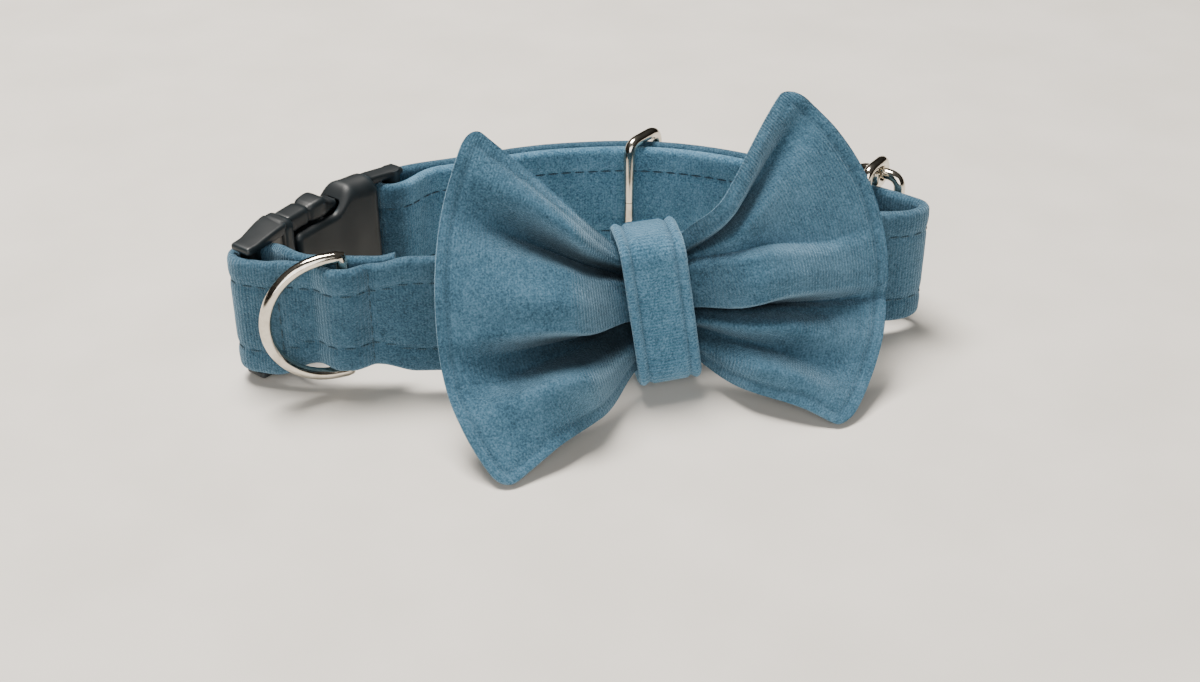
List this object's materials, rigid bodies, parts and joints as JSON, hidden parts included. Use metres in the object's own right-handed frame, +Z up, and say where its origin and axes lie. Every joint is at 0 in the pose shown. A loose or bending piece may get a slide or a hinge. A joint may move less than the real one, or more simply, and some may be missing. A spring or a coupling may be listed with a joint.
{
  "type": "pet bow tie collar",
  "caption": "Small velvet pet collar standing on edge, with a bow tie, side release buckle, D-ring, keeper and slide.",
  "frame": {"origin": "middle of the footprint, on the surface that the collar stands on", "axes": "+X along the loop's length to the end with the wire slide, -Y to the side with the bow, +Z up"},
  "size_m": [0.1398, 0.085, 0.0546],
  "materials": {
    "velvet": "dusty blue short pile velvet",
    "nickel_wire": "polished nickel plated wire",
    "acetal": "satin moulded black acetal"
  },
  "bodies": {
    "collar": {"strap": "velvet", "bow_body": "velvet", "knot_band": "velvet", "keeper_loop": "nickel_wire", "tri_glide": "nickel_wire", "buckle_male": "acetal", "buckle_female": "acetal"},
    "leash_ring": {"d_ring": "nickel_wire"}
  },
  "joints": [
    {"name": "d_ring_swing", "type": "hinge", "parent": "collar", "child": "leash_ring", "pos_m": [-0.04822, -0.00491, 0.0177], "axis": [0, 0, 1], "range_deg": [0, 120]}
  ]
}
